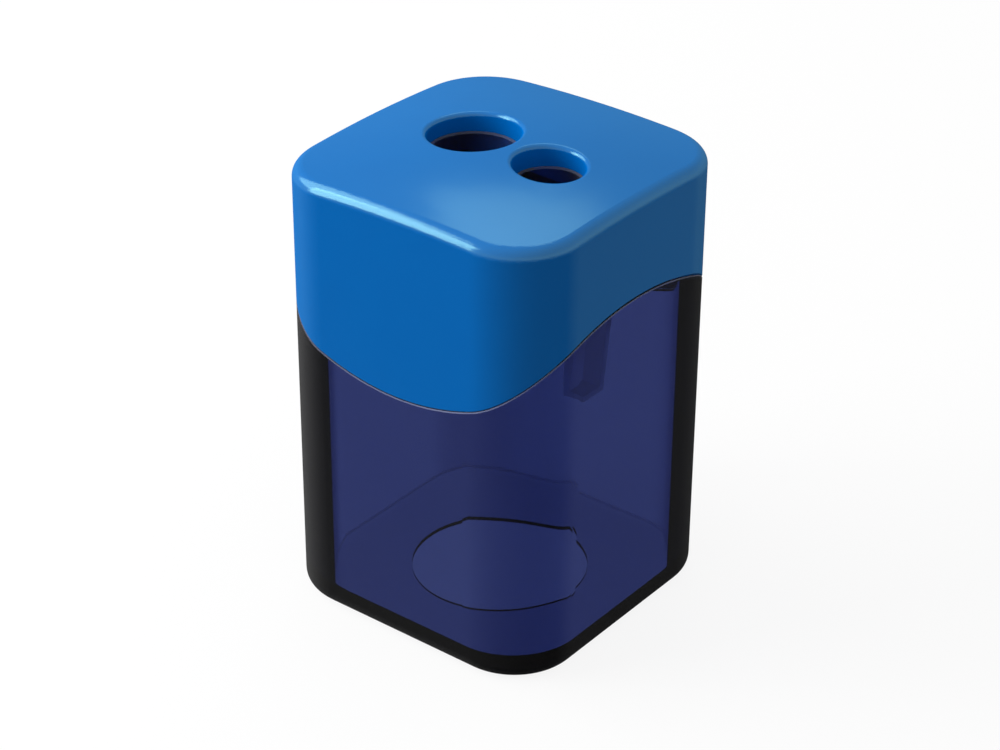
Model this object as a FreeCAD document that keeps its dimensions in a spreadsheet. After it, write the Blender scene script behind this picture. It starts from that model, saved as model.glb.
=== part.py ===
import FreeCAD, Part
import math
import os
import re
import Sketcher

# Hand-turned pencil sharpener with two holes, a lift-off lid and a clear bin for the shavings.
# Millimetres, +Z up. The origin is the middle of the face that it stands on, and the front is -Y.

Vector = FreeCAD.Vector

SIZES = {
    # Outer form of the closed sharpener
    "body_width": 38.0,
    "corner_radius": 8.2,
    "total_height": 57.7,
    "crown_side_drop": 2.03,
    "crown_corner_drop": 2.8,
    "top_edge_round": 1.5,
    "base_edge_round": 1.8,
    # Wavy seam between lid and container: low at the front and back, high at the two sides
    "seam_front_height": 32.8,
    "seam_side_height": 43.9,
    "seam_middle_height": 37.7,
    "seam_gap": 0.1,
    "shoulder_round": 0.15,
    "lid_edge_round": 0.1,
    # Container
    "container_wall": 2.0,
    "bin_corner_radius": 8.2,
    "floor_thickness": 2.1,
    "floor_round": 0.4,
    "neck_above_seam": 3.1,
    "base_recess_diameter": 20.0,
    "base_recess_depth": 0.5,
    # Lid
    "lid_wall": 2.0,
    "lid_skirt_wall": 1.0,
    "lid_top_thickness": 2.2,
    "lap_clearance": 0.15,
    "hole_lip_round": 0.5,
    "socket_wall": 1.2,
    "socket_depth": 4.0,
    "socket_clearance": 0.1,
    # Pencil holes in the lid, and the bores in the block under them
    "large_hole_x": -3.84,
    "large_hole_y": 0.0,
    "large_hole_radius": 5.4,
    "small_hole_x": 7.6,
    "small_hole_y": -1.16,
    "small_hole_radius": 4.1,
    "bore_step": 0.2,
    "bore_rim_chamfer": 0.25,
    "guide_depth": 3.5,
    "large_cone_length": 19.7,
    "large_tip_radius": 0.7,
    "small_cone_length": 16.0,
    "small_tip_radius": 0.6,
    "small_tip_floor": 0.5,
    # Block
    "block_depth_below_top": 2.7,
    "block_side_wall": 1.35,
    "block_end_wall": 1.1,
    "block_corner": 1.5,
    "blade_side_margin": 0.6,
    "seat_inset": 0.45,
    "seat_end_room": 0.5,
    "end_rib_reach": 2.4,
    "end_plate_thickness": 0.8,
    "end_bridge_height": 1.5,
    "end_rib_y": -2.0,
    "end_rib_gap": 0.25,
    "end_foot_width": 3.4,
    "end_foot_thickness": 0.7,
    # Blades and screws
    "blade_thickness": 0.5,
    "blade_bevel": 1.0,
    "blade_edge_land": 0.05,
    "blade_start": 0.4,
    "blade_top_gap": 1.4,
    "large_blade_width": 8.0,
    "small_blade_width": 7.0,
    "screw_head_radius": 1.9,
    "screw_head_height": 1.0,
    "screw_head_chamfer": 0.3,
    "screw_shank_radius": 0.8,
    "screw_shank_length": 3.2,
    "screw_slot_width": 0.5,
    "screw_slot_depth": 0.5,
    "screw_clearance": 0.05,
    # How far a cutting form runs past the piece that it cuts
    "cut_margin": 1.0,
}

doc = FreeCAD.newDocument("pencil_sharpener")
sheet = doc.addObject("Spreadsheet::Sheet", "sizes")
for row, (alias, value) in enumerate(SIZES.items(), start=1):
    sheet.set(f"A{row}", alias)
    sheet.set(f"B{row}", str(value))
    sheet.setAlias(f"B{row}", alias)
doc.recompute()


def size(alias):
    """One driving dimension, read back from the sheet."""
    return float(sheet.get(alias))


def bind(thing, place, formula):
    """Tie a property to a formula written in the sheet's names, which all hold an underscore."""
    thing.setExpression(place, re.sub(r"[a-z]+_\w+", lambda found: "sizes." + found.group(), formula))


def new_sketch(body, name, plane_role):
    """Empty sketch on one of the body's own origin planes."""
    sketch = body.newObject("Sketcher::SketchObject", name)
    plane = next(item for item in body.Origin.OriginFeatures if item.Role == plane_role)
    sketch.AttachmentSupport = [(plane, "")]
    sketch.MapMode = "FlatFace"
    return sketch


def add_dimension(sketch, name, formula, *constraint):
    """Dimension in a sketch, tied to the sheet."""
    index = sketch.addConstraint(Sketcher.Constraint(*constraint))
    sketch.renameConstraint(index, name)
    bind(sketch, f"Constraints.{name}", formula)


def prism(name, width, depth, corner, bottom, top, centre_x="0"):
    """Upright body on a rounded rectangle, from one height to another."""
    body = doc.addObject("PartDesign::Body", name)
    sketch = new_sketch(body, f"{name}_outline", "XY_Plane")
    bind(sketch, "AttachmentOffset.Base.x", centre_x)
    bind(sketch, "AttachmentOffset.Base.z", bottom)
    # The sketch is drawn at a rough size, and its dimensions then bring it to the real one
    reach = 15.0
    radius = 3.0
    flat = reach - radius
    up = Vector(0, 0, 1)
    turns = [FreeCAD.Rotation(up, 90 * quarter) for quarter in range(4)]
    for turn in turns:
        ends = [turn.multVec(Vector(x, -reach, 0)) for x in (-flat, flat)]
        sketch.addGeometry(Part.LineSegment(*ends))
    for quarter, turn in enumerate(turns):
        circle = Part.Circle(turn.multVec(Vector(flat, -flat, 0)), up, radius)
        angles = [math.radians(90 * quarter + start) for start in (-90, 0)]
        sketch.addGeometry(Part.ArcOfCircle(circle, *angles))
    for side in range(4):
        arc = 4 + side
        sketch.addConstraint(Sketcher.Constraint("Tangent", side, 2, arc, 1))
        sketch.addConstraint(Sketcher.Constraint("Tangent", arc, 2, (side + 1) % 4, 1))
        sketch.addConstraint(Sketcher.Constraint("Vertical" if side % 2 else "Horizontal", side))
    for arc in (5, 6, 7):
        sketch.addConstraint(Sketcher.Constraint("Equal", 4, arc))
    sketch.addConstraint(Sketcher.Constraint("Symmetric", 4, 3, 6, 3, -1, 1))
    add_dimension(sketch, "width", width, "DistanceX", 3, 1, 1, 1, 2 * reach)
    add_dimension(sketch, "depth", depth, "DistanceY", 0, 1, 2, 1, 2 * reach)
    add_dimension(sketch, "corner", corner, "Radius", 4, radius)
    pad = body.newObject("PartDesign::Pad", f"{name}_pad")
    pad.Profile = sketch
    bind(pad, "Length", f"{top} - ({bottom})")
    return body


def polygon(body, name, plane_role, corners):
    """Closed outline with straight sides, whose corners are pairs of formulas."""
    sketch = new_sketch(body, name, plane_role)
    count = len(corners)
    angles = [2 * math.pi * index / count for index in range(count)]
    points = [Vector(math.cos(angle), math.sin(angle), 0) for angle in angles]
    for index in range(count):
        sketch.addGeometry(Part.LineSegment(points[index], points[(index + 1) % count]))
    for index in range(count):
        sketch.addConstraint(Sketcher.Constraint("Coincident", index, 2, (index + 1) % count, 1))
    for index, (across, along) in enumerate(corners):
        point = points[index]
        add_dimension(sketch, f"across_{index}", across, "DistanceX", -1, 1, index, 1, point.x)
        add_dimension(sketch, f"along_{index}", along, "DistanceY", -1, 1, index, 1, point.y)
    return sketch


def revolve(body, name, outline):
    """Turn an outline once round its vertical axis."""
    turned = body.newObject("PartDesign::Revolution", name)
    turned.Profile = outline
    turned.ReferenceAxis = (outline, ["V_Axis"])
    turned.Angle = 360


def primitive(kind, name, **formulas):
    """Box or cylinder with its sizes tied to the sheet."""
    thing = doc.addObject(f"Part::{kind}", name)
    for place, formula in formulas.items():
        bind(thing, place, formula)
    return thing


def put(thing, x, y, z):
    """Set an object down at a place given by formulas."""
    for axis, formula in (("x", x), ("y", y), ("z", z)):
        bind(thing, f"Placement.Base.{axis}", formula)


def combine(kind, name, base, tool):
    """Join two objects: the kind is Cut, Fuse or Common."""
    result = doc.addObject(f"Part::{kind}", name)
    result.Base = base
    result.Tool = tool
    return result


def curved_solid(name, level, bend_x, bend_y, bend_both, thickness):
    """Solid from the sheet z = level + bend_x x2 + bend_y y2 + bend_both x2 y2, straight up or down."""
    reach = size("body_width") / 2 + size("cut_margin")
    surface = Part.BezierSurface()
    surface.increase(2, 2)
    # The three poles of a square term are its end value, that value negated, and its end value
    signs = (1, -1, 1)
    for row in range(3):
        for column in range(3):
            square_x = signs[row] * reach ** 2
            square_y = signs[column] * reach ** 2
            height = level + bend_x * square_x + bend_y * square_y + bend_both * square_x * square_y
            pole = Vector((row - 1) * reach, (column - 1) * reach, height)
            surface.setPole(row + 1, column + 1, pole)
    feature = doc.addObject("Part::Feature", name)
    feature.Shape = surface.toShape().extrude(Vector(0, 0, thickness))
    return feature


def curved_face(shape, choose):
    """The highest or lowest doubly curved face: choose is max or min."""
    faces = [face for face in shape.Faces if face.Surface.TypeId == "Part::GeomBezierSurface"]
    return choose(faces, key=lambda face: face.CenterOfMass.z)


def bottom_edges(shape):
    """Edges round the lowest level face."""
    lowest = min(shape.Faces, key=lambda face: face.CenterOfMass.z)
    return lowest.OuterWire.Edges


def round_edges(name, base, *rounds):
    """Round edges of an object: each round is a list of edges and the name of its radius."""
    feature = doc.addObject("Part::Fillet", name)
    feature.Base = base
    numbered = list(enumerate(base.Shape.Edges, start=1))
    chosen = []
    for edges, radius in rounds:
        numbers = [number for number, edge in numbered if any(edge.isSame(other) for other in edges)]
        chosen += [(number, size(radius), size(radius)) for number in numbers]
    feature.Edges = chosen
    return feature


# Curved forms: the crown of the lid, its underside, and the two sides of the seam

tall = size("total_height")
half_width = size("body_width") / 2
seam_middle = size("seam_middle_height")
seam_bend_x = (size("seam_side_height") - seam_middle) / half_width ** 2
seam_bend_y = (size("seam_front_height") - seam_middle) / half_width ** 2
half_gap = size("seam_gap") / 2
crown_bend = -size("crown_side_drop") / half_width ** 2
crown_ease = (2 * size("crown_side_drop") - size("crown_corner_drop")) / half_width ** 4
crown_inside_level = tall - size("lid_top_thickness")
crown = curved_solid("crown", tall, crown_bend, crown_bend, crown_ease, -tall)
crown_inside = curved_solid("crown_inside", crown_inside_level, crown_bend, crown_bend, crown_ease, -tall)
above_container = curved_solid("above_container", seam_middle - half_gap, seam_bend_x, seam_bend_y, 0, tall)
below_lid = curved_solid("below_lid", seam_middle + half_gap, seam_bend_x, seam_bend_y, 0, -tall)

# Container: bin with a floor, a shoulder along the seam and a thin neck that goes inside the lid

neck_top = "(seam_side_height + neck_above_seam)"
neck_inset = "(lid_skirt_wall + lap_clearance)"
neck_width = f"body_width - 2 * {neck_inset}"
bin_width = "body_width - 2 * container_wall"

container_prism = prism("container_prism", "body_width", "body_width", "corner_radius", "0", "total_height")
container_blank = combine("Cut", "container_blank", container_prism, above_container)
neck = prism("neck", neck_width, neck_width, f"corner_radius - {neck_inset}", "floor_thickness", neck_top)
bin_prism = prism("bin_prism", bin_width, bin_width, "bin_corner_radius",
                  "floor_thickness", f"{neck_top} + cut_margin")
base_recess = primitive("Cylinder", "base_recess", Radius="base_recess_diameter / 2",
                        Height="base_recess_depth + cut_margin")
put(base_recess, "0", "0", "-cut_margin")
doc.recompute()

container_rounded = round_edges(
    "container_rounded", container_blank,
    (bottom_edges(container_blank.Shape), "base_edge_round"),
    (curved_face(container_blank.Shape, max).OuterWire.Edges, "shoulder_round"))
bin_space = round_edges("bin_space", bin_prism, (bottom_edges(bin_prism.Shape), "floor_round"))
container_outside = combine("Fuse", "container_outside", container_rounded, neck)
container_hollow = combine("Cut", "container_hollow", container_outside, bin_space)
container = combine("Cut", "container", container_hollow, base_recess)

# Block plan: its sides follow the large bore, its left end the large blade, its right end the small bore

block_top = "(total_height - block_depth_below_top)"
block_bottom = f"({block_top} - guide_depth - large_cone_length)"
block_left = "(large_hole_x - large_blade_width - blade_side_margin)"
block_right = "(small_hole_x + small_hole_radius - bore_step + block_end_wall)"
block_half_depth = "(large_hole_radius - bore_step + block_side_wall)"
socket_bottom = f"({block_top} - socket_depth)"


def block_outline(name, offset, bottom, top):
    """Prism on the block's plan, with its walls moved out by an offset."""
    width = f"{block_right} - {block_left} + 2 * ({offset})"
    depth = f"2 * ({block_half_depth} + {offset})"
    centre_x = f"({block_right} + {block_left}) / 2"
    return prism(name, width, depth, f"block_corner + {offset}", bottom, top, centre_x)


# Lid: crowned cap with a thin skirt round the neck, and a socket under its top for the block

skirt_width = "body_width - 2 * lid_skirt_wall"
cap_width = "body_width - 2 * lid_wall"

lid_prism = prism("lid_prism", "body_width", "body_width", "corner_radius",
                  "seam_front_height - cut_margin", "total_height + cut_margin")
lid_crowned = combine("Common", "lid_crowned", lid_prism, crown)
lid_blank = combine("Cut", "lid_blank", lid_crowned, below_lid)
doc.recompute()

lid_rounded = round_edges(
    "lid_rounded", lid_blank,
    (curved_face(lid_blank.Shape, max).OuterWire.Edges, "top_edge_round"),
    (curved_face(lid_blank.Shape, min).OuterWire.Edges, "lid_edge_round"))
skirt_space = prism("skirt_space", skirt_width, skirt_width, "corner_radius - lid_skirt_wall",
                    "seam_front_height - cut_margin", neck_top)
cap_prism = prism("cap_prism", cap_width, cap_width, "corner_radius - lid_wall",
                  f"{neck_top} - cut_margin", "total_height")
cap_space = combine("Common", "cap_space", cap_prism, crown_inside)
socket_outside = block_outline("socket_outside", "socket_clearance + socket_wall",
                               socket_bottom, f"{block_top} + cut_margin / 2")
socket_space = block_outline("socket_space", "socket_clearance", f"{socket_bottom} - cut_margin", block_top)
lid_skirted = combine("Cut", "lid_skirted", lid_rounded, skirt_space)
lid_hollow = combine("Cut", "lid_hollow", lid_skirted, cap_space)
lid_socketed = combine("Fuse", "lid_socketed", lid_hollow, socket_outside)
lid_pierced = combine("Cut", "lid_socket_open", lid_socketed, socket_space)
for side in ("large", "small"):
    hole = primitive("Cylinder", f"{side}_hole", Radius=f"{side}_hole_radius",
                     Height="block_depth_below_top + 2 * cut_margin")
    put(hole, f"{side}_hole_x", f"{side}_hole_y", f"{block_top} - cut_margin")
    lid_pierced = combine("Cut", f"lid_with_{side}_hole", lid_pierced, hole)
doc.recompute()

crown_face = curved_face(lid_pierced.Shape, max)
lip_edges = [edge for edge in crown_face.Edges
             if not any(edge.isSame(outer) for outer in crown_face.OuterWire.Edges)]
lid = round_edges("lid_finished", lid_pierced, (lip_edges, "hole_lip_round"))

# Sharpener block: solid round the large cone, stepped and sloping round the shorter small one.
# A thin leg with a foot hangs from its right end and leans out upwards.

block_prism = block_outline("block_prism", "0", block_bottom, block_top)
seats_meet = "(small_hole_x - small_blade_width - blade_side_margin)"
small_bottom = f"({block_top} - guide_depth - small_cone_length - small_tip_floor)"
end_top = f"({socket_bottom} - cut_margin / 2)"
bridge_bottom = f"({end_top} - end_bridge_height)"
small_end_cut = doc.addObject("PartDesign::Body", "small_end_cut")
put(small_end_cut, "0", f"{block_half_depth} + cut_margin", "0")
small_end_outline = polygon(small_end_cut, "small_end_outline", "XZ_Plane", [
    (f"{block_right} + cut_margin", bridge_bottom),
    (block_right, bridge_bottom),
    ("small_hole_x + small_tip_radius + block_end_wall", small_bottom),
    (seats_meet, small_bottom),
    (seats_meet, f"{block_bottom} - cut_margin"),
    (f"{block_right} + cut_margin", f"{block_bottom} - cut_margin"),
])
small_end_pad = small_end_cut.newObject("PartDesign::Pad", "small_end_pad")
small_end_pad.Profile = small_end_outline
bind(small_end_pad, "Length", f"2 * ({block_half_depth} + cut_margin)")
block = combine("Cut", "block_stepped", block_prism, small_end_cut)

end_root = f"({block_right} - cut_margin / 2)"
leg_top_x = "(body_width / 2 - lid_wall - end_rib_gap - end_rib_reach)"


def leg_plate(name, reach, back, thickness):
    """Leaning plate of the leg, whose outer edge stands out by the reach."""
    body = doc.addObject("PartDesign::Body", name)
    put(body, "0", back, "0")
    outline = polygon(body, f"{name}_outline", "XZ_Plane", [
        (f"{block_right} - end_plate_thickness", block_bottom),
        (f"{block_right} + {reach}", block_bottom),
        (f"{leg_top_x} + {reach}", end_top),
        (f"{leg_top_x} - end_plate_thickness", end_top),
    ])
    pad = body.newObject("PartDesign::Pad", f"{name}_pad")
    pad.Profile = outline
    bind(pad, "Length", thickness)
    return body


leg_rib = leg_plate("leg_rib", "end_rib_reach", "end_rib_y + end_plate_thickness / 2", "end_plate_thickness")
leg_web = leg_plate("leg_web", "0", "end_rib_y", "end_foot_width")
leg_foot = primitive("Box", "leg_foot", Length="end_rib_reach + cut_margin / 2", Width="end_foot_width",
                     Height="end_foot_thickness")
put(leg_foot, end_root, "end_rib_y - end_foot_width", block_bottom)
leg_bridge = primitive("Box", "leg_bridge", Length=f"{leg_top_x} - {end_root}",
                       Width="end_foot_width + end_plate_thickness / 2", Height="end_bridge_height")
put(leg_bridge, end_root, "end_rib_y - end_foot_width", bridge_bottom)
leg_sides = combine("Fuse", "leg_sides", leg_rib, leg_web)
leg_standing = combine("Fuse", "leg_standing", leg_sides, leg_foot)
leg = combine("Fuse", "leg", leg_standing, leg_bridge)
seat_ends = {
    "large": (f"({block_left} - cut_margin)", seats_meet),
    "small": (seats_meet, f"({block_right} - block_end_wall)"),
}
blades = {}
screws = {}

for side in ("large", "small"):
    hole_x = f"{side}_hole_x"
    hole_y = f"{side}_hole_y"
    blade_width = f"{side}_blade_width"
    tip_radius = f"{side}_tip_radius"
    bore_radius = f"({side}_hole_radius - bore_step)"
    cone_top = f"({block_top} - guide_depth)"
    cone_tip = f"({cone_top} - {side}_cone_length)"
    slope = f"(({bore_radius} - {tip_radius}) / {side}_cone_length)"
    lean = f"atan({slope})"
    blade_length = f"({side}_cone_length / cos({lean}) - blade_start - blade_top_gap)"
    # Where the seat passes the cone's tip: the cone's front line, moved in by the inset
    seat_y = f"({hole_y} - {tip_radius} + seat_inset * cos({lean}))"
    seat_z = f"({cone_tip} + seat_inset * sin({lean}))"

    def lay_on_seat(thing, along, sideways, quarter_turn):
        """Put an object on the blade seat, with its Z square to the seat, outwards or inwards."""
        thing.Placement = FreeCAD.Placement(Vector(), FreeCAD.Rotation(Vector(1, 0, 0), 90))
        put(thing, f"{hole_x} - ({sideways})", f"{seat_y} - ({along}) * sin({lean})",
            f"{seat_z} + ({along}) * cos({lean})")
        bind(thing, "Placement.Rotation.Angle", f"{quarter_turn} + {lean}")

    # Bore: entry chamfer, straight guide, cone, and a small relief hole at the tip
    bore = doc.addObject("PartDesign::Body", f"{side}_bore")
    put(bore, hole_x, hole_y, "0")
    bore_outline = polygon(bore, f"{side}_bore_outline", "XZ_Plane", [
        ("0", f"{block_bottom} - cut_margin"),
        (tip_radius, f"{block_bottom} - cut_margin"),
        (tip_radius, cone_tip),
        (bore_radius, cone_top),
        (bore_radius, f"{block_top} - bore_rim_chamfer"),
        (f"{bore_radius} + bore_rim_chamfer + cut_margin", f"{block_top} + cut_margin"),
        ("0", f"{block_top} + cut_margin"),
    ])
    revolve(bore, f"{side}_bore_turned", bore_outline)
    block = combine("Cut", f"block_with_{side}_bore", block, bore)

    # Seat: sloping flat that opens the front of the cone, below the closed guide ring
    seat_start, seat_end = seat_ends[side]
    seat_top = f"({seat_z} + (blade_start + {blade_length} + seat_end_room) * cos({lean}))"
    seat_bottom = f"({block_bottom} - cut_margin)"
    seat_front = f"-({block_half_depth} + cut_margin)"
    seat = doc.addObject("PartDesign::Body", f"{side}_seat")
    put(seat, seat_start, "0", "0")
    seat_outline = polygon(seat, f"{side}_seat_outline", "YZ_Plane", [
        (f"{seat_y} - ({seat_bottom} - {seat_z}) * {slope}", seat_bottom),
        (f"{seat_y} - ({seat_top} - {seat_z}) * {slope}", seat_top),
        (seat_front, seat_top),
        (seat_front, seat_bottom),
    ])
    seat_pad = seat.newObject("PartDesign::Pad", f"{side}_seat_pad")
    seat_pad.Profile = seat_outline
    bind(seat_pad, "Length", f"{seat_end} - {seat_start}")
    block = combine("Cut", f"block_with_{side}_seat", block, seat)

    # Pilot hole for the screw, square to the seat and going in
    screw_along = f"blade_start + {blade_length} / 2"
    screw_sideways = f"{blade_width} / 2"
    pilot = primitive("Cylinder", f"{side}_pilot", Radius="screw_shank_radius + screw_clearance",
                      Height="screw_shank_length + screw_clearance")
    lay_on_seat(pilot, screw_along, screw_sideways, "-90 deg")
    block = combine("Cut", f"block_with_{side}_pilot", block, pilot)

    # Blade: flat steel strip with a hole, whose bevelled edge stands over the opening in the cone
    blade = doc.addObject("PartDesign::Body", f"{side}_blade_body")
    lay_on_seat(blade, "blade_start", "0", "90 deg")
    blade_outline = polygon(blade, f"{side}_blade_outline", "XZ_Plane", [
        (f"-{blade_width}", "0"),
        ("0", "0"),
        ("0", "blade_edge_land"),
        ("-blade_bevel", "blade_thickness"),
        (f"-{blade_width}", "blade_thickness"),
    ])
    blade_pad = blade.newObject("PartDesign::Pad", f"{side}_blade_pad")
    blade_pad.Profile = blade_outline
    blade_pad.Reversed = True
    bind(blade_pad, "Length", blade_length)
    hole_sketch = new_sketch(blade, f"{side}_blade_hole_outline", "XY_Plane")
    hole_sketch.addGeometry(Part.Circle(Vector(-1, 1, 0), Vector(0, 0, 1), 1))
    add_dimension(hole_sketch, "across", f"-{screw_sideways}", "DistanceX", -1, 1, 0, 3, -1)
    add_dimension(hole_sketch, "along", f"{blade_length} / 2", "DistanceY", -1, 1, 0, 3, 1)
    add_dimension(hole_sketch, "radius", "screw_shank_radius + screw_clearance", "Radius", 0, 1)
    blade_hole = blade.newObject("PartDesign::Pocket", f"{side}_blade_hole")
    blade_hole.Profile = hole_sketch
    blade_hole.Reversed = True
    bind(blade_hole, "Length", "blade_thickness + cut_margin")
    blades[side] = blade

    # Screw: low round head with a slot, sitting on the blade
    screw = doc.addObject("PartDesign::Body", f"{side}_screw_body")
    lay_on_seat(screw, screw_along, screw_sideways, "90 deg")
    head_top = "(blade_thickness + screw_head_height)"
    screw_outline = polygon(screw, f"{side}_screw_outline", "XZ_Plane", [
        ("0", "-screw_shank_length"),
        ("screw_shank_radius", "-screw_shank_length"),
        ("screw_shank_radius", "blade_thickness"),
        ("screw_head_radius", "blade_thickness"),
        ("screw_head_radius", f"{head_top} - screw_head_chamfer"),
        ("screw_head_radius - screw_head_chamfer", head_top),
        ("0", head_top),
    ])
    revolve(screw, f"{side}_screw_turned", screw_outline)
    slot_outline = polygon(screw, f"{side}_slot_outline", "XZ_Plane", [
        ("-screw_slot_width / 2", f"{head_top} - screw_slot_depth"),
        ("screw_slot_width / 2", f"{head_top} - screw_slot_depth"),
        ("screw_slot_width / 2", f"{head_top} + cut_margin"),
        ("-screw_slot_width / 2", f"{head_top} + cut_margin"),
    ])
    slot = screw.newObject("PartDesign::Pocket", f"{side}_slot")
    slot.Profile = slot_outline
    slot.SideType = "Symmetric"
    bind(slot, "Length", "2 * (screw_head_radius + cut_margin)")
    screws[side] = screw

block = combine("Fuse", "block_with_leg", block, leg)

# Check every object and piece, then write one file for each piece

nodes = {
    "container": container,
    "lid": lid,
    "sharpener_block": block,
    "large_blade": blades["large"],
    "small_blade": blades["small"],
    "large_blade_screw": screws["large"],
    "small_blade_screw": screws["small"],
}
doc.recompute()
failed = [thing.Name for thing in doc.Objects if {"Invalid", "Error"} & set(thing.State)]
if failed:
    raise RuntimeError(f"objects that failed: {failed}")
for label, node in nodes.items():
    node.Label = label
    if node.Shape.isNull() or not node.Shape.isValid() or len(node.Shape.Solids) != 1:
        raise RuntimeError(f"{label} is not one valid solid")
os.makedirs("parts", exist_ok=True)
for label, node in nodes.items():
    node.Shape.exportStep(f"parts/{label}.step")
    print(label, round(node.Shape.Volume, 2), node.Shape.BoundBox)
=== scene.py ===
import math

import bpy
from mathutils import Euler, Matrix, Vector

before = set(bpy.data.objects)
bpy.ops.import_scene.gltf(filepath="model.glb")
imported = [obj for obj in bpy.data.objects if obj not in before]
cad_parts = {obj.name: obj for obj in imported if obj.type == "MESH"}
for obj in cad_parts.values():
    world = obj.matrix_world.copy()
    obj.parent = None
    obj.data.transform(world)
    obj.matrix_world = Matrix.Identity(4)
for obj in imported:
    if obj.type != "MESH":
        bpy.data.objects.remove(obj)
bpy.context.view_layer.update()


# Container: the bin that the shavings fall into, with a thin neck that goes inside the lid.
# It is injection-moulded in one shot from clear navy polystyrene, in a polished mould.

MM = 0.001
# Most of a noise pattern lies between these two values
NOISE_LOW = 0.3
NOISE_HIGH = 0.7


def linear(hex_colour):
    """Linear colour with alpha, from an sRGB hex value."""
    shares = [int(hex_colour[place:place + 2], 16) / 255 for place in (1, 3, 5)]
    return [s / 12.92 if s <= 0.04045 else ((s + 0.055) / 1.055) ** 2.4 for s in shares] + [1.0]


def add_node(tree, kind, inputs=None, **settings):
    """New node with its settings, whose inputs are given values or linked to other nodes' outputs."""
    node = tree.nodes.new(kind)
    for setting, value in settings.items():
        setattr(node, setting, value)
    for socket, value in (inputs or {}).items():
        if isinstance(value, bpy.types.NodeSocket):
            tree.links.new(value, node.inputs[socket])
        else:
            node.inputs[socket].default_value = value
    return node


def blank_material(name):
    """New material with no nodes yet."""
    material = bpy.data.materials.new(name)
    material.use_nodes = True
    material.node_tree.nodes.clear()
    return material


def dress(node_name, material):
    """Give a CAD node its material."""
    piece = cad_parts[node_name]
    for slot in piece.material_slots:
        slot.material = material


def upward_share(tree, none_at, full_at):
    """0 to 1 between two upward parts of the surface's normal, which is 0 upright and 1 level."""
    facing = add_node(tree, "ShaderNodeTexCoord").outputs["Normal"]
    upward = add_node(tree, "ShaderNodeSeparateXYZ", {0: facing}).outputs["Z"]
    share = add_node(tree, "ShaderNodeMapRange", {
        "Value": upward, "From Min": none_at, "From Max": full_at})
    return share.outputs["Result"]


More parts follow.
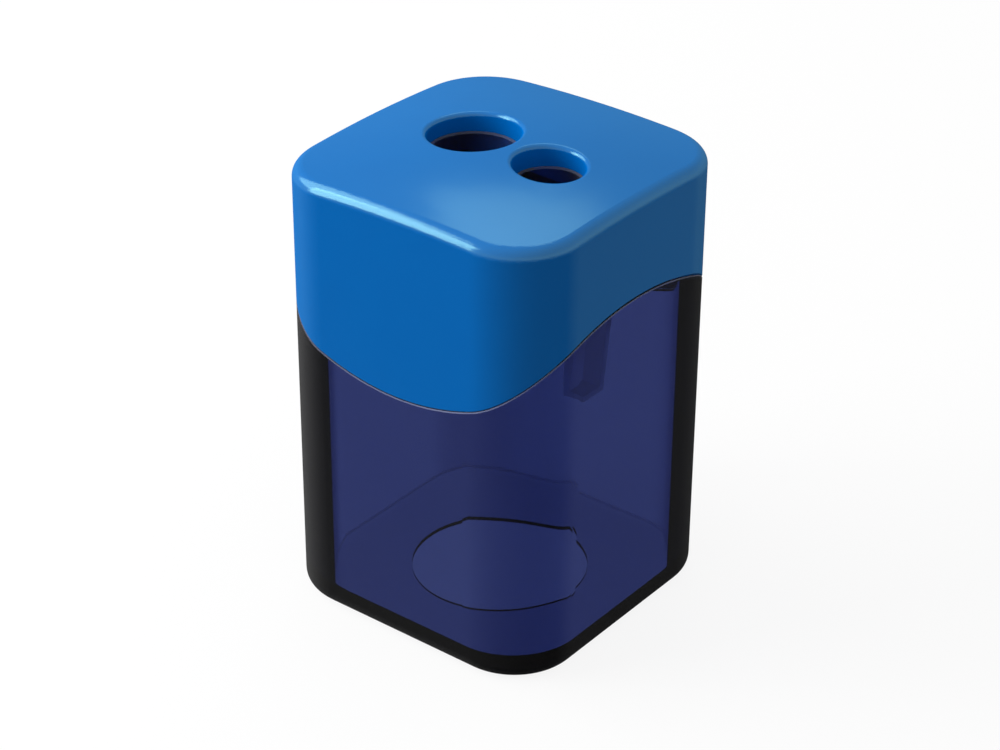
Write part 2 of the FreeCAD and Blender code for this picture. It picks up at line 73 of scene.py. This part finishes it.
def clear_polystyrene(name, index, dye_density, edge_highlight_share, floor_edge_highlight_share, frosted_from=None):
    """Clear navy plastic with a painted highlight on its curved edges, whose surface past a place along X may
    be frosted.
    """
    material = blank_material(name)
    tree = material.node_tree
    place = add_node(tree, "ShaderNodeTexCoord").outputs["Object"]
    across, _, height = add_node(tree, "ShaderNodeSeparateXYZ", {0: place}).outputs

    # The flow of the melt leaves a faint waviness, and use leaves patches of fine scuffs in the polish
    flow_size = 9 * MM
    flow_depth = 0.02 * MM
    flow = add_node(tree, "ShaderNodeTexNoise", {"Vector": place, "Scale": 1 / flow_size, "Detail": 2.0})
    flow_bump = add_node(tree, "ShaderNodeBump", {
        "Height": flow.outputs["Fac"], "Strength": 0.1, "Distance": flow_depth}).outputs["Normal"]
    scuff_size = 0.6 * MM
    smoothest = 0.002
    roughest = 0.012
    scuffs = add_node(tree, "ShaderNodeTexNoise", {"Vector": place, "Scale": 1 / scuff_size, "Detail": 4.0})
    polish = add_node(tree, "ShaderNodeMapRange", {
        "Value": scuffs.outputs["Fac"], "From Min": NOISE_LOW, "From Max": NOISE_HIGH,
        "To Min": smoothest, "To Max": roughest}).outputs["Result"]
    through = add_node(tree, "ShaderNodeBsdfRefraction", {
        "Color": linear("#FFFFFF"), "Roughness": polish, "IOR": index, "Normal": flow_bump})

    # A little lit white is mixed in all over. It is partly the haze of fine scuffs and partly a painted
    # reflection of the room, and it rises where the surface is seen edge on, as a painted grey sheen on the
    # dark rims
    painted_sheen_start = 0.36
    painted_sheen_full = 0.80
    haze_share = 0.013
    painted_sheen_share = 0.06
    edge_on = add_node(tree, "ShaderNodeLayerWeight", {"Blend": 0.5}).outputs["Facing"]
    haze_and_sheen_share = add_node(tree, "ShaderNodeMapRange", {
        "Value": edge_on, "From Min": painted_sheen_start, "From Max": painted_sheen_full,
        "To Min": haze_share, "To Max": painted_sheen_share}).outputs["Result"]
    haze_and_painted_sheen = add_node(tree, "ShaderNodeBsdfDiffuse", {"Color": linear("#FFFFFF")})
    surface = add_node(tree, "ShaderNodeMixShader", {
        0: haze_and_sheen_share, 1: through.outputs[0], 2: haze_and_painted_sheen.outputs[0]})

    # A frosted stretch scatters far more of it
    if frosted_from is not None:
        frosted_share = 0.35
        frost_fade = 0.2 * MM
        frosting = add_node(tree, "ShaderNodeMapRange", {
            "Value": across, "From Min": frosted_from, "From Max": frosted_from + frost_fade,
            "To Max": frosted_share}).outputs["Result"]
        frost = add_node(tree, "ShaderNodeBsdfDiffuse", {"Color": linear("#E4E9FF")})
        surface = add_node(tree, "ShaderNodeMixShader", {
            0: frosting, 1: surface.outputs[0], 2: frost.outputs[0]})

    # Painted highlight: edges that curve from upright to level get a pale colour mixed in as pale lines, by
    # one share low down at the floor and another higher up
    upright_until = 0.1
    curved_from = 0.3
    curved_until = 0.75
    level_from = 0.9
    past_upright = upward_share(tree, upright_until, curved_from)
    short_of_level = upward_share(tree, level_from, curved_until)
    curved = add_node(tree, "ShaderNodeMath", {0: past_upright, 1: short_of_level}, operation="MULTIPLY")
    floor_edges_below = 10 * MM
    upper_edges_above = 20 * MM
    share_at_height = add_node(tree, "ShaderNodeMapRange", {
        "Value": height, "From Min": floor_edges_below, "From Max": upper_edges_above,
        "To Min": floor_edge_highlight_share, "To Max": edge_highlight_share})
    painted_highlight_share = add_node(tree, "ShaderNodeMath", {
        0: curved.outputs[0], 1: share_at_height.outputs["Result"]}, operation="MULTIPLY")
    painted_edge_highlight = add_node(tree, "ShaderNodeBsdfDiffuse", {"Color": linear("#D4DCFF")})
    surface = add_node(tree, "ShaderNodeMixShader", {
        0: painted_highlight_share.outputs[0], 1: surface.outputs[0], 2: painted_edge_highlight.outputs[0]})

    # Lamps shine through to what is inside, and the dye takes its share on the way
    from_lamp = add_node(tree, "ShaderNodeLightPath").outputs["Is Shadow Ray"]
    let_through = add_node(tree, "ShaderNodeBsdfTransparent", {"Color": linear("#FFFFFF")})
    surface = add_node(tree, "ShaderNodeMixShader", {
        0: from_lamp, 1: surface.outputs[0], 2: let_through.outputs[0]})
    dye = add_node(tree, "ShaderNodeVolumeAbsorption", {"Color": linear("#768EC8"), "Density": dye_density})
    add_node(tree, "ShaderNodeOutputMaterial", {
        "Surface": surface.outputs[0], "Volume": dye.outputs["Volume"]})
    return material


# The melt is dyed through, so the eye sees black rims where the light's way through the wall is long.
# The polished mould leaves the walls clear. The thin pale line along the shoulder and the fainter ones at the
# floor's edges are painted highlights. The index is matched
# to the real piece: polystyrene's own 1.59 would black out more of what is seen through the walls.
clear_navy = clear_polystyrene(
    "clear_navy_polystyrene_polished", index=1.4, dye_density=1000.0, edge_highlight_share=0.22, floor_edge_highlight_share=0.2)
dress("container", clear_navy)


# Lid: crowned cap with two pencil holes, whose thin skirt goes down outside the neck.
# It is moulded from opaque blue polystyrene, in a mould with a fine satin finish.

# The satin mould finish gives soft highlights, and the pigment is even but for a faint cloudiness.
# The top and its rim are glossier than the side walls, which shine a little more where seen edge on.
satin_blue = blank_material("blue_polystyrene_satin_moulded")
tree = satin_blue.node_tree
place = add_node(tree, "ShaderNodeTexCoord").outputs["Object"]
cloud_size = 6 * MM
clouds = add_node(tree, "ShaderNodeTexNoise", {"Vector": place, "Scale": 1 / cloud_size, "Detail": 3.0})
pigment = add_node(tree, "ShaderNodeMix", {
    "Factor": clouds.outputs["Fac"], "A": linear("#0066BA"), "B": linear("#006ABE")}, data_type="RGBA")
# The real satin grain is finer than this, which is drawn coarse enough to show
grain_size = 0.25 * MM
grain_depth = 0.01 * MM
smoothest = 0.15
roughest = 0.19
grain = add_node(tree, "ShaderNodeTexNoise", {"Vector": place, "Scale": 1 / grain_size, "Detail": 2.0})
satin = add_node(tree, "ShaderNodeMapRange", {
    "Value": grain.outputs["Fac"], "From Min": NOISE_LOW, "From Max": NOISE_HIGH,
    "To Min": smoothest, "To Max": roughest})
grain_bump = add_node(tree, "ShaderNodeBump", {
    "Height": grain.outputs["Fac"], "Strength": 0.03, "Distance": grain_depth})
body = add_node(tree, "ShaderNodeBsdfPrincipled", {
    "Base Color": pigment.outputs["Result"],
    "Roughness": satin.outputs["Result"],
    "Specular IOR Level": 0.0,
    "Normal": grain_bump.outputs["Normal"],
})
gloss = add_node(tree, "ShaderNodeBsdfGlossy", {
    "Color": linear("#B8FFF6"),
    "Roughness": satin.outputs["Result"],
    "Normal": grain_bump.outputs["Normal"],
})
wall_gloss = 0.010
wall_gloss_edge_on = 0.045
edge_on_start = 0.34
edge_on_full = 0.60
edge_on = add_node(tree, "ShaderNodeLayerWeight", {"Blend": 0.5}).outputs["Facing"]
side_share = add_node(tree, "ShaderNodeMapRange", {
    "Value": edge_on, "From Min": edge_on_start, "From Max": edge_on_full,
    "To Min": wall_gloss, "To Max": wall_gloss_edge_on})
rim_gloss = 0.085
top_gloss = 0.080
rim_until = 0.75
top_from = 0.97
upper_share = add_node(tree, "ShaderNodeMix", {
    "Factor": upward_share(tree, rim_until, top_from), "A": rim_gloss, "B": top_gloss}, data_type="FLOAT")
wall_until = 0.1
rim_from = 0.3
gloss_share = add_node(tree, "ShaderNodeMix", {
    "Factor": upward_share(tree, wall_until, rim_from), "A": side_share.outputs["Result"],
    "B": upper_share.outputs["Result"]}, data_type="FLOAT")
surface = add_node(tree, "ShaderNodeMixShader", {
    0: gloss_share.outputs["Result"], 1: body.outputs["BSDF"], 2: gloss.outputs[0]})
add_node(tree, "ShaderNodeOutputMaterial", {"Surface": surface.outputs[0]})
dress("lid", satin_blue)


# Sharpener block: holds both cones and the blades, pushed into a socket under the lid's top.
# It is moulded from clear navy polystyrene too, with less dye than in the container.

# It looks dark in the holes, where little light gets in, and a low index keeps it clear elsewhere.
# The mould left its leg frosted, so the eye sees that as a faint matt shape through the container's wall.
leg_start = 12 * MM
# Its curved edges, such as the rims of its bores, get a fainter painted highlight
pale_navy = clear_polystyrene(
    "clear_navy_polystyrene_less_dye", index=1.08, dye_density=350.0, edge_highlight_share=0.1, floor_edge_highlight_share=0.1,
    frosted_from=leg_start)
dress("sharpener_block", pale_navy)


# Blades: two flat strips of hardened carbon steel, one under each cone, held by a screw.
# They are ground on both faces and on the bevel.

# Grinding leaves fine lines across the blade, which break up its shine.
ground_steel = blank_material("carbon_steel_ground")
tree = ground_steel.node_tree
place = add_node(tree, "ShaderNodeTexCoord").outputs["Object"]
# The real grinding lines are finer than these, which are drawn coarse enough to show
line_pitch = 0.12 * MM
line_length = 6 * MM
line_depth = 0.01 * MM
smoothest = 0.22
roughest = 0.4
stretched = add_node(tree, "ShaderNodeMapping", {
    "Vector": place, "Scale": (1 / line_length, 1 / line_pitch, 1 / line_pitch)})
lines = add_node(tree, "ShaderNodeTexNoise", {
    "Vector": stretched.outputs["Vector"], "Scale": 1.0, "Detail": 3.0})
steel_tone = add_node(tree, "ShaderNodeMix", {
    "Factor": lines.outputs["Fac"], "A": linear("#A9ABAF"), "B": linear("#C9CBCE")}, data_type="RGBA")
steel_gloss = add_node(tree, "ShaderNodeMapRange", {
    "Value": lines.outputs["Fac"], "From Min": NOISE_LOW, "From Max": NOISE_HIGH,
    "To Min": smoothest, "To Max": roughest})
line_bump = add_node(tree, "ShaderNodeBump", {
    "Height": lines.outputs["Fac"], "Strength": 0.4, "Distance": line_depth})
surface = add_node(tree, "ShaderNodeBsdfPrincipled", {
    "Base Color": steel_tone.outputs["Result"],
    "Metallic": 1.0,
    "Roughness": steel_gloss.outputs["Result"],
    "Normal": line_bump.outputs["Normal"],
})
add_node(tree, "ShaderNodeOutputMaterial", {"Surface": surface.outputs["BSDF"]})
dress("large_blade", ground_steel)
dress("small_blade", ground_steel)


# Blade screws: slotted screws with low round heads, driven square into the block through the blades.
# They are turned from steel and nickel-plated.

# The plating leaves a soft warm shine with a faint mottle.
plated_steel = blank_material("steel_nickel_plated")
tree = plated_steel.node_tree
place = add_node(tree, "ShaderNodeTexCoord").outputs["Object"]
mottle_size = 0.5 * MM
smoothest = 0.18
roughest = 0.32
mottle = add_node(tree, "ShaderNodeTexNoise", {"Vector": place, "Scale": 1 / mottle_size, "Detail": 3.0})
plate_tone = add_node(tree, "ShaderNodeMix", {
    "Factor": mottle.outputs["Fac"], "A": linear("#A39D92"), "B": linear("#C2BCB0")}, data_type="RGBA")
plate_gloss = add_node(tree, "ShaderNodeMapRange", {
    "Value": mottle.outputs["Fac"], "From Min": NOISE_LOW, "From Max": NOISE_HIGH,
    "To Min": smoothest, "To Max": roughest})
surface = add_node(tree, "ShaderNodeBsdfPrincipled", {
    "Base Color": plate_tone.outputs["Result"],
    "Metallic": 1.0,
    "Roughness": plate_gloss.outputs["Result"],
})
add_node(tree, "ShaderNodeOutputMaterial", {"Surface": surface.outputs["BSDF"]})
dress("large_blade_screw", plated_steel)
dress("small_blade_screw", plated_steel)


# Floor and surroundings: a plain white studio table that runs out into a white room.
# The camera, mirror-like surfaces and clear plastic see it white, and it keeps a soft shadow.

floor_mesh = bpy.data.meshes.new("studio_floor")
floor_reach = 4.0
# A hair of air stays under the container, as under any real one
floor_level = -0.05 * MM
floor_mesh.from_pydata(
    [(x * floor_reach, y * floor_reach, floor_level) for x, y in ((-1, -1), (1, -1), (1, 1), (-1, 1))],
    [], [(0, 1, 2, 3)])
floor = bpy.data.objects.new("studio_floor", floor_mesh)
bpy.context.scene.collection.objects.link(floor)


def seen_directly(tree):
    """1 for camera, glossy and transmission rays, and 0 for the light that falls on the object."""
    path = add_node(tree, "ShaderNodeLightPath")
    either = add_node(tree, "ShaderNodeMath", {
        0: path.outputs["Is Camera Ray"], 1: path.outputs["Is Glossy Ray"]}, operation="MAXIMUM")
    any_of_three = add_node(tree, "ShaderNodeMath", {
        0: either.outputs[0], 1: path.outputs["Is Transmission Ray"]}, operation="MAXIMUM")
    return any_of_three.outputs[0]


# The table's own white is left out of the light on the object, and its matt grey takes the shadow
white_table = blank_material("white_table_matt")
tree = white_table.node_tree
glow_share = 0.88
glow_strength = add_node(tree, "ShaderNodeMath", {
    0: seen_directly(tree), 1: glow_share}, operation="MULTIPLY")
glow = add_node(tree, "ShaderNodeEmission", {
    "Color": linear("#FFFFFF"), "Strength": glow_strength.outputs[0]})
matt = add_node(tree, "ShaderNodeBsdfDiffuse", {"Color": linear("#606060")})
both = add_node(tree, "ShaderNodeAddShader", {0: glow.outputs[0], 1: matt.outputs[0]})
add_node(tree, "ShaderNodeOutputMaterial", {"Surface": both.outputs[0]})
floor_mesh.materials.append(white_table)

# The room is white low down and a little darker towards the ceiling, and lights the object less than it shows
room = bpy.data.worlds.new("white_room")
bpy.context.scene.world = room
room.use_nodes = True
tree = room.node_tree
tree.nodes.clear()
room_light = 0.55
wall_white = 1.0
ceiling_white = 0.7
walls_until = 0.1
ceiling_from = 0.5
look = add_node(tree, "ShaderNodeTexCoord").outputs["Generated"]
height = add_node(tree, "ShaderNodeSeparateXYZ", {0: look}).outputs["Z"]
room_shade = add_node(tree, "ShaderNodeMapRange", {
    "Value": height, "From Min": walls_until, "From Max": ceiling_from,
    "To Min": wall_white, "To Max": ceiling_white})
room_strength = add_node(tree, "ShaderNodeMix", {
    "Factor": seen_directly(tree), "A": room_light, "B": room_shade.outputs["Result"]}, data_type="FLOAT")
room_white = add_node(tree, "ShaderNodeBackground", {
    "Color": linear("#FFFFFF"), "Strength": room_strength.outputs["Result"]})
add_node(tree, "ShaderNodeOutputWorld", {"Surface": room_white.outputs[0]})


# Studio light: a tall soft box at the front left, a larger and weaker one at the left
# and a small one high at the back left. All face the middle of the sharpener.
# Their sizes and their distance are in metres.

sharpener_middle = Vector((0, 0, 28.8)) * MM
lamp_distance = 0.6


def add_soft_box(name, direction, width, height, radiance):
    """Upright soft box that faces the sharpener, with the brightness of its face given."""
    lamp = bpy.data.lights.new(name, "AREA")
    lamp.shape = "RECTANGLE"
    lamp.size = width
    lamp.size_y = height
    lamp.energy = radiance * math.pi * width * height
    lamp_object = bpy.data.objects.new(name, lamp)
    towards = Vector(direction).normalized()
    sideways = Vector((0, 0, 1)).cross(towards).normalized()
    lamp_object.location = sharpener_middle + towards * lamp_distance
    lamp_object.rotation_euler = Matrix((sideways, towards.cross(sideways), towards)).transposed().to_euler()
    lamp_object.visible_camera = False
    lamp_object.visible_transmission = False
    bpy.context.scene.collection.objects.link(lamp_object)


add_soft_box("front_soft_box", (-0.62, -0.69, 0.37), width=0.26, height=0.42, radiance=5.6)
add_soft_box("left_soft_box", (-0.77, -0.28, 0.57), width=0.40, height=0.40, radiance=3.6)
add_soft_box("back_soft_box", (-0.36, 0.50, 0.79), width=0.20, height=0.20, radiance=1.8)


# Camera: stands at the front right and looks down at the near corner, at the photograph's angle.
# Its focal length is given in pixels of the photograph's frame.

picture_width = 1000
focal_pixels = 2618
sensor_width = 36
camera_data = bpy.data.cameras.new("camera")
camera_data.sensor_fit = "HORIZONTAL"
camera_data.sensor_width = sensor_width
camera_data.lens = focal_pixels / picture_width * sensor_width
camera_data.clip_start = 0.01
camera_target = Vector((0.44, -0.49, 27.54)) * MM
camera_distance = 306.8 * MM
azimuth = math.radians(38.023)
elevation = math.radians(29.928)
roll = math.radians(0.352)
turn = Euler((math.pi / 2 - elevation, 0, azimuth)).to_matrix() @ Matrix.Rotation(roll, 3, "Z")
camera = bpy.data.objects.new("camera", camera_data)
camera.location = camera_target + turn @ Vector((0, 0, camera_distance))
camera.rotation_euler = turn.to_euler()
bpy.context.scene.collection.objects.link(camera)
bpy.context.scene.camera = camera
bpy.context.scene.view_settings.view_transform = "Standard"
